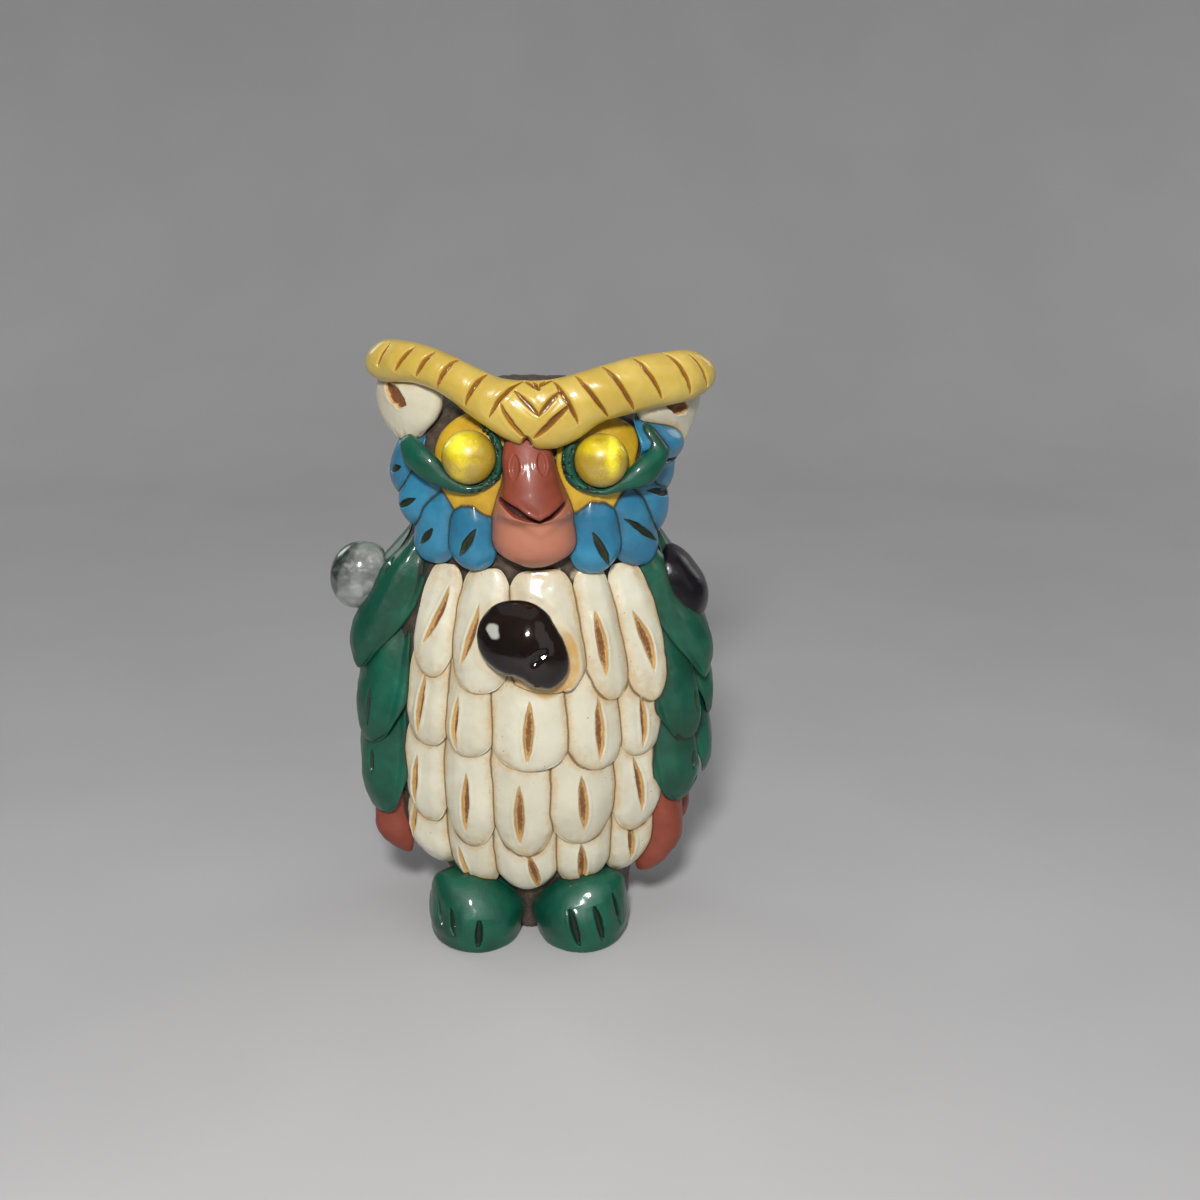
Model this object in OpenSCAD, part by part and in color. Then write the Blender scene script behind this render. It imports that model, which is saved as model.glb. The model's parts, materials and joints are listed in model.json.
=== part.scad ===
// Owl figurine of hand-built clay: a dark core, with separate clay feathers, brow, beak and
// feet pressed onto it, glass eye beads and tumbled stones.
// Frame: origin at the middle of the base, +Z up, the owl faces -Y. "Left" is the -X side.
// A place on the core is given by its azimuth (degrees from the front, + towards +X) and height.

/* [Core] */
// Height of the clay core, under the brow
core_h = 88.6; // [88:0.2:90]
// Squareness of the head's cross-section, 2 is an ellipse
head_square = 2.6; // [2:0.1:3]
// How far the core swells under each wing
wing_swell = 4.5; // [3.5:0.25:5]

/* [Feathers] */
// Thickness of a feather's free end above the core
feather_t = 2.7; // [2.3:0.1:3.2]
// Thickness of a feather at its root
root_t = 1.2; // [1:0.1:1.5]
// Extra thickness of the wing feathers
wing_t = 0.8; // [0.4:0.1:1.2]
// Clearance between pieces that are pressed together
gap = 0.03; // [0.02:0.01:0.06]

/* [Face] */
// Radius of a glass eye bead
bead_r = 4.05; // [3.8:0.05:4.1]
// Height of a bead's dome
bead_h = 3.7; // [3.2:0.1:4]
// Half height of the brow at its middle
brow_half_h = 5.2; // [4.8:0.1:5.4]

/* [Feet] */
// How far the toes stand in front of the axis
toe_reach = 21.5; // [20:0.5:22.5]
// Height of the feet
foot_h = 11.2; // [10:0.2:12]

/* [Detail] */
// Points around a feather
pad_points = 20; // [16:2:20]

/* [Hidden] */
earth = "#463a30";
straw = "#d8bd5c";
cream = "#dcd3bd";
ochre = "#cfa53a";
leaf = "#1c7458";
sky = "#4186b8";
brick = "#a8574a";
amber = "#e0b400";
coal = "#241f1e";
frost = "#c9ccc8";

// Core: height, half width and half depth of each station.
STATIONS = [[0, 15.5, 12.5], [8, 17.6, 14.4], [16, 20.2, 16.6], [26, 22.0, 18.2], [36, 22.3, 18.4],
    [46, 21.4, 17.6], [54, 20.0, 16.3], [61, 18.4, 14.8], [66, 18.6, 14.6], [74, 19.8, 15.0],
    [80, 19.9, 15.0], [84, 18.2, 13.9], [86.8, 14.2, 10.8], [core_h, 6, 4.6]];
RIGHT_WING = 0.8;           // the right wing stands out less than the left one
NECK_Z = [58, 72];          // the cross-section turns from round to squarish between these
core_around = 40;
core_levels = [for (z = [0:3:84]) z, 85.6, 86.8, 87.8, core_h];

// A pad's rounded section: share of the outline's radius, then share of the thickness.
LEAF_SECTION = [[0, 1], [0.45, 0.97], [0.78, 0.83], [0.94, 0.57], [1, 0.27], [0.95, 0],
    [0.72, 0], [0.4, 0], [0, 0]];
STONE_SECTION = [[0, 1], [0.4, 0.94], [0.7, 0.8], [0.9, 0.6], [1, 0.4], [0.9, 0.14], [0.6, 0], [0, 0]];
// Where along its length a feather starts and ends its climb over the one below.
CLIMB = [0.68, 1];
WING_CLIMB = [0.54, 0.84];

// Belly: for each row, the feathers' shared edges, their tips' azimuths and heights, the height
// of the roots, and where along its length a feather is widest.
BELLY = [
    [[-57, -40, -13, 23, 43, 61], [-47, -23, 8, 37, 53], [45, 43.5, 44, 42, 40.5], 62.2, 0.6],
    [[-58, -41, -19, 15, 40, 58], [-47, -28, 0, 29, 48], [33.5, 33, 31.5, 31, 32], 48, 0.58],
    [[-58, -42, -19, 8, 38, 58], [-50, -30, -4, 23, 49], [20, 17, 16, 18, 18.5], 36.5, 0.52],
    [[-61, -46, -21, 11, 39, 59], [-52, -32, -4, 27, 51], [11.5, 8.5, 8.5, 9, 10], 22.5, 0.45]];
belly_rows = len(BELLY);
belly_cols = len(BELLY[0][1]);

// Cheeks: root azimuth and height, tip azimuth and height, width; from the temple to the beak.
CHEEKS_LEFT = [[-60, 83.5, -72, 72.5, 8], [-44, 78, -69, 68.5, 7.5], [-42, 74.5, -58, 62.5, 8],
    [-32, 73, -30, 62, 7.8]];
CHEEKS_RIGHT = [[56, 86, 76, 73, 9.5], [50, 77.5, 77, 67, 8], [44, 75, 65, 62, 9],
    [34, 73.5, 35, 61.4, 8.6]];

// Wing columns from front to back: root azimuths, tip azimuths, tip heights, width.
WING_LEFT = [[[-66, -71, -71], [-74, -68, -67], [44.5, 32.5, 20], 11], [[-92, -97, -97], [-101, -99, -96],
    [40, 28, 19], 11], [[-119, -122, -121], [-124, -122, -120], [43, 31, 21], 9.4],
    [[-144, -147, -146], [-148, -147, -145], [45, 33, 23], 8.8]];
WING_RIGHT = [[[63, 65, 64], [75, 65, 64], [42.5, 33, 22.5], 9], [[86, 87, 86], [88, 85, 83],
    [42.5, 34, 24], 9.6], [[112, 113, 112], [113, 112, 110], [41, 31, 22], 9.6],
    [[138, 139, 138], [139, 138, 136], [44, 33, 23], 9.2]];
WING_ROOTS = [66, 53, 41];
wing_rows = len(WING_ROOTS);
SIDES = ["left", "right"];

function wings(side) = side == "left" ? WING_LEFT : WING_RIGHT;
function cheeks(side) = side == "left" ? CHEEKS_LEFT : CHEEKS_RIGHT;
function belly_name(row, col) = str("belly_feather_", row + 1, "_", col + 1);
function wing_name(side, col, row) = str(col == 0 ? "wing_front_" : "wing_side_", side, "_", row + 1);
function cheek_name(side, i) = str("cheek_feather_", side, "_", i + 1);

// ---- curves and the core's surface ----
function clamp01(x) = max(0, min(1, x));
function smooth(x) = let (c = clamp01(x)) c * c * (3 - 2 * c);
function mix(a, b, t) = a + (b - a) * t;
function unit(v) = v / norm(v);

// Smooth curve through the rows of a table at the real index u.
function through(tab, u) =
    let (n = len(tab) - 1, i = min(n - 1, floor(u)), t = u - i,
        a = tab[i], b = tab[i + 1],
        ma = i > 0 ? (b - tab[i - 1]) / 2 : b - a,
        mb = i + 2 <= n ? (tab[i + 2] - a) / 2 : b - a)
    (2 * t * t * t - 3 * t * t + 1) * a + (t * t * t - 2 * t * t + t) * ma
        + (3 * t * t - 2 * t * t * t) * b + (t * t * t - t * t) * mb;

// Index, with its fraction, of height z among the stations.
function station_at(z) =
    let (last = len(STATIONS) - 1,
        i = max([for (k = [0:last - 1]) if (z >= STATIONS[k][0] || k == 0) k]))
    i + clamp01((z - STATIONS[i][0]) / (STATIONS[i + 1][0] - STATIONS[i][0]));

// The core swells under the wings, from the belly's edge round to the back, and from foot to neck.
function swell(az, z) =
    wing_swell * (az > 0 ? RIGHT_WING : 1) * smooth((abs(az) - 45) / 28) * smooth((170 - abs(az)) / 45)
        * smooth((z - 5) / 12) * smooth((68 - z) / 10);

function core_r(az, z) =
    let (s = through(STATIONS, station_at(z)),
        n = mix(2, head_square, smooth((z - NECK_Z[0]) / (NECK_Z[1] - NECK_Z[0]))))
    pow(pow(abs(sin(az)) / s[1], n) + pow(abs(cos(az)) / s[2], n), -1 / n) + swell(az, z);

// Point at distance d outside the core.
function on_core(az, z, d) = let (r = core_r(az, z) + d) [r * sin(az), -r * cos(az), z];

// ---- building blocks ----
// Closed skin over rings of n points, with a single point at each end.
function skin_faces(rings, n) =
    let (last = 1 + rings * n)
    concat(
        [for (j = [0:n - 1]) [0, 1 + j, 1 + (j + 1) % n]],
        [for (k = [0:rings - 2]) for (j = [0:n - 1]) let (a = 1 + k * n + j, b = 1 + k * n + (j + 1) % n)
            each [[a, a + n, b], [b, a + n, b + n]]],
        [for (j = [0:n - 1]) let (k = 1 + (rings - 1) * n) [k + j, last, k + (j + 1) % n]]);

// A pad of clay or a stone that lies on the core, from root to tip, both [azimuth, height].
// widest: where it is widest, blunt: squareness of the root and of the tip, seat: how far it lies
// above the core, climb: how far its free end rises over the feather below, over the share of its
// length in climb_at, bend: bow to one side.
module pad(root, tip, width, t_root = root_t, t_tip = feather_t, section = LEAF_SECTION,
    widest = 0.55, blunt = [4.2, 2.2], seat = gap, climb = 0, climb_at = CLIMB, bend = 0) {
    middle = (root + tip) / 2;
    per_deg = (core_r(middle[0], middle[1]) + seat + t_tip / 2) * PI / 180;
    run = [(tip[0] - root[0]) * per_deg, tip[1] - root[1]];
    length = norm(run);
    along = unit(run);
    across = [-along[1], along[0]];
    n = pad_points;
    rings = len(section) - 2;

    function at(ring, share, phi) =
        let (c = cos(phi), s = sin(phi), p = s > 0 ? blunt[1] : blunt[0],
            k = ring / pow(pow(abs(c), p) + pow(abs(s), p), 1 / p),
            v = widest + s * k * (s > 0 ? 1 - widest : widest),
            q = along * v * length + across * (c * k * width / 2 + bend * sin(180 * clamp01(v))),
            inner = seat + climb * smooth((v - climb_at[0]) / (climb_at[1] - climb_at[0])),
            outer = seat + mix(t_root, t_tip, smooth(v * 1.1)))
        on_core(root[0] + q[0] / per_deg, root[1] + q[1], mix(inner, outer, share));

    polyhedron(
        points = concat([at(0, section[0][1], 0)],
            [for (k = [1:rings]) for (j = [0:n - 1]) at(section[k][0], section[k][1], 360 * j / n)],
            [at(0, section[rings + 1][1], 0)]),
        faces = skin_faces(rings, n));
}

// A point of a soft piece, pressed out of the core where it would sink in.
function pressed(p) =
    let (az = atan2(p[0], -p[1]), least = core_r(az, p[2]) + gap)
    p[2] > core_h || norm([p[0], p[1]]) > least ? p : [least * sin(az), -least * cos(az), p[2]];

// A roll of clay through control points [x, y, z, half height, half depth] that faces outward.
module roll(controls, steps, lean, n = 12) {
    count = (len(controls) - 1) * steps;
    pts = [for (i = [0:count]) through(controls, i / steps)];
    xyz = [for (p = pts) [p[0], p[1], p[2]]];
    function ring(i) =
        let (t = unit(xyz[i + 1] - xyz[i - 1]), f = unit([xyz[i][0] * lean, xyz[i][1], 0]),
            up = unit(cross(t, f)), out = cross(up, t))
        [for (j = [0:n - 1]) let (a = -360 * j / n)
            pressed(xyz[i] + up * pts[i][3] * cos(a) + out * pts[i][4] * sin(a))];
    polyhedron(
        points = concat([xyz[0]], [for (i = [1:count - 1]) each ring(i)], [xyz[count]]),
        faces = skin_faces(count - 1, n));
}

// A lump on the front of the core through sections [z, centre x, half width, front y, side y].
module lump(sections, steps, n = 10) {
    count = (len(sections) - 1) * steps;
    function outside(p, z) =
        let (az = atan2(p[0], -p[1]), r = max(norm(p), core_r(az, z) + gap + 0.3))
        [r * sin(az), -r * cos(az), z];
    function ring(i) =
        let (s = through(sections, i / steps), z = s[0],
            front = [for (j = [0:n]) let (a = 180 * j / n)
                outside([s[1] + s[2] * cos(a), mix(s[4], s[3], pow(sin(a), 0.8))], z)],
            back = [for (j = [n:-1:0]) on_core(atan2(front[j][0], -front[j][1]), z, gap)])
        concat(front, back);
    m = 2 * n + 2;
    middle = function(r) [for (k = [0:2]) (r[n / 2][k] + r[n + 1 + n / 2][k]) / 2];
    polyhedron(
        points = concat([middle(ring(0))], [for (i = [0:count]) each ring(i)], [middle(ring(count))]),
        faces = skin_faces(count + 1, m));
}

// ---- the pieces ----
module core() {
    n = core_around;
    color(earth) polyhedron(
        points = concat([[0, 0, core_h]],
            [for (k = [len(core_levels) - 1:-1:0]) for (j = [0:n - 1]) on_core(-360 * j / n, core_levels[k], 0)],
            [[0, 0, 0]]),
        faces = skin_faces(len(core_levels), n));
}

module brow() {
    h = brow_half_h;
    color(straw) roll([[-24.4, -5, 91.4, 0.6, 0.6], [-22.6, -7.6, 92.8, 2.5, 2.1], [-18, -11.2, 93.4, 3, 2.7],
        [-12, -14.2, 91.9, h - 2.3, 2.9], [-6.1, -16.2, 88.8, h - 1.5, 3.1], [-1.6, -17.1, 87.1, h - 0.6, 3.3],
        [3.4, -17.2, 86.6, h, 3.4], [9.2, -16.3, 88.9, h - 1.1, 3.2], [14.5, -14.6, 90.2, h - 1.1, 3.1],
        [20.4, -12, 91, h - 1.2, 2.9], [25.4, -8.6, 91, h - 2.4, 2.3], [27.8, -5.2, 90.2, 0.6, 0.6]],
        steps = 3, lean = 0.6, n = 16);
}

module beak()
    color(brick) lump([[84, 0, 1.5, -17, -16], [82, 0, 2.6, -18.4, -16], [78, 0.2, 3.6, -20.2, -16],
        [74.5, 0.5, 5, -22, -15.5], [72.2, 0.7, 5.7, -22.8, -15], [70.6, 0.7, 6, -21, -14.5],
        [67.5, 0.9, 5.6, -20.8, -14], [65, 1, 4.4, -19.9, -14], [63.4, 1, 1.8, -17.6, -14.5]], steps = 2);

module foot(side) {
    left = side == "left";
    x = left ? -9.6 : 7.4;
    out = left ? -1 : 1;
    color(leaf) lump([[foot_h, x + out * 2.4, 2.6, -16.4, -14.5], [foot_h * 0.93, x + out * 1.8, 4.6, -17.8, -13.5],
        [foot_h * 0.76, x + out * 0.8, 6.4, mix(-17, -toe_reach, 0.55), -12], [foot_h * 0.5, x, 7.6, mix(-17, -toe_reach, 0.9), -10.5],
        [foot_h * 0.24, x, 7.8, -toe_reach, -10], [0, x, 7, -toe_reach + 0.8, -10]], steps = 2);
}

module eye_patch(side)
    color(ochre) if (side == "left")
        pad([-29, 86.5], [-29, 69.5], 11.5, t_root = 1, t_tip = 1.3, widest = 0.4, blunt = [2.2, 2.2]);
    else
        pad([36, 86.5], [32, 69.5], 12, t_root = 1, t_tip = 1.3, widest = 0.4, blunt = [2.2, 2.2]);

function eye(side) = side == "left" ? [-8.8, -15.9, 79.9] : [10.7, -15.8, 79.4];

module eye_bead(side)
    color(amber) translate(eye(side)) rotate([90, 0, 0]) {
        dome_r = (bead_r * bead_r + bead_h * bead_h) / (2 * bead_h);
        intersection() {
            translate([0, 0, bead_h - dome_r]) sphere(r = dome_r, $fn = 64);
            cylinder(r = bead_r, h = bead_h, $fn = 64);
        }
    }

// The rim is a comma: it starts under the brow, runs round the bead and ends in a tail.
module eye_rim(side) {
    e = eye(side);
    rim_left = [[1.6, 0.2, 4.9, 0.3, 0.3], [3.4, -0.1, 3.5, 0.55, 0.7], [4.6, -0.2, 0.6, 0.65, 1],
        [3.8, -0.2, -2.9, 0.7, 1], [0.4, -0.2, -4.7, 0.75, 1.1], [-3.4, -0.2, -3.4, 1.3, 1.2],
        [-6.4, 0.3, -1.2, 2, 1.3], [-8.4, 1.6, 0.7, 1.8, 1.2], [-10, 3.2, 3.2, 0.5, 0.6]];
    rim_right = [[-2.2, 0.2, 4.9, 0.3, 0.3], [-4, -0.1, 3.2, 0.8, 0.8], [-4.9, -0.2, 0, 1, 1],
        [-3.8, -0.2, -3.2, 0.9, 1], [-0.2, -0.2, -4.6, 0.6, 1.1], [3.5, -0.2, -3.3, 1.2, 1.2],
        [6.4, 0.6, -1.8, 2.1, 1.4], [8.6, 2.4, 0.6, 1.5, 1.2], [9.1, 3.4, 4.9, 0.6, 0.7]];
    color(leaf) roll([for (p = side == "left" ? rim_left : rim_right)
        [e[0] + p[0], e[1] + p[1], e[2] + p[2], p[3], p[4]]], steps = 3, lean = 0.5, n = 12);
}

// An ear is a thick disc that stands out from the side of the head under the end of the brow.
module ear(side)
    color(cream) roll(side == "left"
        ? [[-19, -7.4, 93, 2, 0.9], [-19, -7.6, 91.5, 5, 1.8], [-18.8, -8, 88, 6.3, 2.4],
            [-18.8, -8.2, 84.5, 5.4, 2.3], [-19, -8.2, 82, 3.4, 1.7], [-19.2, -8, 80.6, 0.5, 0.5]]
        : [[21, -7, 91.5, 2, 0.9], [21, -7.2, 90, 5.4, 1.8], [20.9, -7.4, 86.6, 7, 2.4],
            [21.3, -7.4, 83, 5.2, 2.3], [21.9, -7.4, 80.3, 2.8, 1.7], [22.2, -7.2, 78.8, 0.5, 0.5]],
        steps = 2, lean = 0.4);

module cheek_feather(side, i) {
    c = cheeks(side)[i];
    color(sky) pad([c[0], c[1]], [c[2], c[3]], c[4], t_tip = 2.6, widest = 0.62, blunt = [2.4, 2.2],
        climb = i < 2 ? 1 : 0, seat = i == 3 ? gap + 0.2 : gap);
}

module chest_stone()
    color(coal) pad([-20, 57.4], [13.6, 47], 11.8, t_root = 4.4, t_tip = 5.2, section = STONE_SECTION,
        widest = 0.5, blunt = [2.1, 2.4], seat = 2.2);

module shoulder_stone(side)
    if (side == "left")
        color(frost) pad([-78, 64.5], [-81, 52.8], 9.2, t_root = 6.4, t_tip = 6.8, section = STONE_SECTION,
            widest = 0.5, blunt = [2, 2.2], seat = 2.6);
    else
        color(coal) pad([75, 63.6], [78, 51], 10.5, t_root = 4.6, t_tip = 5, section = STONE_SECTION,
            widest = 0.5, blunt = [2.2, 2.3], seat = 0.6);

module belly_feather(row, col) {
    r = BELLY[row];
    middle = (r[0][col] + r[0][col + 1]) / 2;
    half = (r[0][col + 1] - r[0][col]) / 2;
    root = [middle, r[3]];
    tip = [r[1][col], r[2][col]];
    width = 2 * half * (core_r(middle, (root[1] + tip[1]) / 2) + feather_t) * PI / 180 - 0.05;
    color(cream) pad(root, tip, width, widest = r[4], climb = row < belly_rows - 1 ? 1.6 : 0.2);
}

module wing_feather(side, col, row) {
    w = wings(side)[col];
    color(leaf) pad([w[0][row], WING_ROOTS[row]], [w[1][row], w[2][row]], w[3],
        t_root = root_t, t_tip = feather_t + wing_t, climb = 2.3, climb_at = WING_CLIMB, blunt = [2.6, 2.1],
        widest = 0.5);
}

module wing_back(side)
    for (col = [2:3]) for (row = [0:wing_rows - 1]) wing_feather(side, col, row);

module wing_tips(side)
    color(brick) if (side == "left") {
        pad([-70, 26], [-68, 11.8], 7.2, t_root = 1.4, t_tip = 3.8, climb = 1.5);
        pad([-95, 24], [-91, 13.5], 7.5, t_root = 1.4, t_tip = 3.4, climb = 1.5);
    } else {
        pad([66, 27], [61, 9.2], 7.2, t_root = 1.4, t_tip = 5, bend = 1.2, climb = 1.5);
        pad([86, 26], [82, 14.5], 6, t_root = 1.4, t_tip = 3.2, climb = 1.2);
    }

// ---- the assembly ----
core();
brow();
beak();
chest_stone();
for (side = SIDES) {
    ear(side);
    eye_patch(side);
    eye_rim(side);
    eye_bead(side);
    shoulder_stone(side);
    foot(side);
    wing_back(side);
    wing_tips(side);
    for (i = [0:3]) cheek_feather(side, i);
    for (col = [0:1]) for (row = [0:wing_rows - 1])
        wing_feather(side, col, row);
}
for (row = [0:belly_rows - 1]) for (col = [0:belly_cols - 1])
    belly_feather(row, col);
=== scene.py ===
"""Looks of the clay owl: every CAD node is copied, made smooth and soft, cut and creased, and given its own
clay, glass or stone. Lengths are millimetres up to the build, and metres in the stage, camera and lights.
Shares are parts of a piece's own box."""

import json
import math

import bmesh
import bpy
import numpy as np
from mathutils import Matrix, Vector
from mathutils.bvhtree import BVHTree


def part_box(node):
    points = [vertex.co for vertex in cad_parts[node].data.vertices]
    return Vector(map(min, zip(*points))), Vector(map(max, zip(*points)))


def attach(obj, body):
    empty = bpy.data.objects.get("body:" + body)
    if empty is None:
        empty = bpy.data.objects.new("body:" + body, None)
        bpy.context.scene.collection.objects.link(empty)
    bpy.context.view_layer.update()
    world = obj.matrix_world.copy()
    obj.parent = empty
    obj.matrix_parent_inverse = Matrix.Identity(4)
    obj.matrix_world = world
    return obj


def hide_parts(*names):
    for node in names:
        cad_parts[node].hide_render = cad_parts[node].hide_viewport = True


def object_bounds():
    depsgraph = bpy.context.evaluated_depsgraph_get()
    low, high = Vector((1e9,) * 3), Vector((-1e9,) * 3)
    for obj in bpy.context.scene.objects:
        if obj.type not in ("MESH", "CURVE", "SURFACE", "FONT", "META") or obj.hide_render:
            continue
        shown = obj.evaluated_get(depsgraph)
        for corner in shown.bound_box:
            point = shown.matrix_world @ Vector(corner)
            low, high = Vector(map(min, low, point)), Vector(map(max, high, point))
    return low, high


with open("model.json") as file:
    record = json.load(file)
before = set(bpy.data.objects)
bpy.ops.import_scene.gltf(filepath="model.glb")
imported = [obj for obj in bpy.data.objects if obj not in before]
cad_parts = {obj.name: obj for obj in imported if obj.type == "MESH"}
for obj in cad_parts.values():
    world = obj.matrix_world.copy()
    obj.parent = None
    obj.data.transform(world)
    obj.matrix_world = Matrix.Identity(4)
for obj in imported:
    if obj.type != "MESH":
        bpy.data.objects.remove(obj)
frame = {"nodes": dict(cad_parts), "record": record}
cad_low, cad_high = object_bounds()
MM = 1000.0  # millimetres in a metre
SLOT_OF = {s["node"]: s["material_slot"] for s in frame["record"]["subparts"]}
REACH = 2.2  # how far a piece looks for its neighbours
EASE = 0.5  # where a piece's outermost points start to be held back from the sides of the CAD's box
JOIN_FACES, JOIN_SHAPE = math.radians(60), math.radians(80)  # limits for joining triangles into quads
PULL = 0.9  # share of a soft copy's shrinkage that each round takes back
BEHIND = 5.0  # added to the distance of points that face away, so that a point in view is found
CUT_REACH = 3.0  # how far in front of or behind its own line a cut still works
INWARD = -3.0  # normal times offset from the axis: points below this face the core and aren't looked at
SIDES = ("left", "right")


# ---- numbers on arrays ----
def smooth(x, low=0.0, high=1.0):
    t = np.clip((np.asarray(x, float) - low) / (high - low), 0, 1)
    return t * t * (3 - 2 * t)


def hill(x, middle, spread):
    return np.exp(-(((x - middle) / spread) ** 2))


def radius_at(outline, angle):
    """Radius of an outline of (degrees, radius) pairs at each angle."""
    return np.interp(angle, *zip(*outline), period=360)


def unit(v):
    return v / np.linalg.norm(v)


def lattice(i, seed):
    h = (i[:, 0] * 374761393 + i[:, 1] * 668265263 + i[:, 2] * 1440662683 + seed * 1274126177) & 0xFFFFFFFF
    h = ((h ^ (h >> 13)) * 1103515245) & 0xFFFFFFFF
    return ((h ^ (h >> 16)) & 0xFFFF) / 32767.5 - 1


def noise(p, size, seed=0):
    """Smooth noise from -1 to 1 with lumps of that size."""
    q = p / size + 512.0
    i = np.floor(q).astype(np.int64)
    f = q - i
    f = f * f * (3 - 2 * f)
    total = np.zeros(len(p))
    for corner in np.ndindex(2, 2, 2):
        c = np.array(corner)
        total += np.prod(np.where(c, f, 1 - f), axis=1) * lattice(i + c, seed)
    return total


def chart(p):
    """Azimuth in degrees (0 in front, + towards +X), height and distance from the axis."""
    return np.degrees(np.arctan2(p[:, 0], -p[:, 1])), p[:, 2], np.hypot(p[:, 0], p[:, 1])


def from_chart(az, z, r):
    a = np.radians(az)
    return np.stack([r * np.sin(a), -r * np.cos(a), z], axis=1)


# ---- pieces ----
def coords(mesh):
    co = np.zeros(len(mesh.vertices) * 3, np.float32)
    mesh.vertices.foreach_get("co", co)
    return co.reshape(-1, 3).astype(float) * MM


def write(mesh, co):
    mesh.vertices.foreach_set("co", (co / MM).astype(np.float32).ravel())
    mesh.update()


def subdivided(mesh, levels):
    o = bpy.data.objects.new("cage", mesh)
    bpy.context.scene.collection.objects.link(o)
    m = o.modifiers.new("soft", "SUBSURF")
    m.levels = m.render_levels = levels
    m.quality = 4
    fine = bpy.data.meshes.new_from_object(o.evaluated_get(bpy.context.evaluated_depsgraph_get()))
    bpy.data.objects.remove(o)
    return fine


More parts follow.
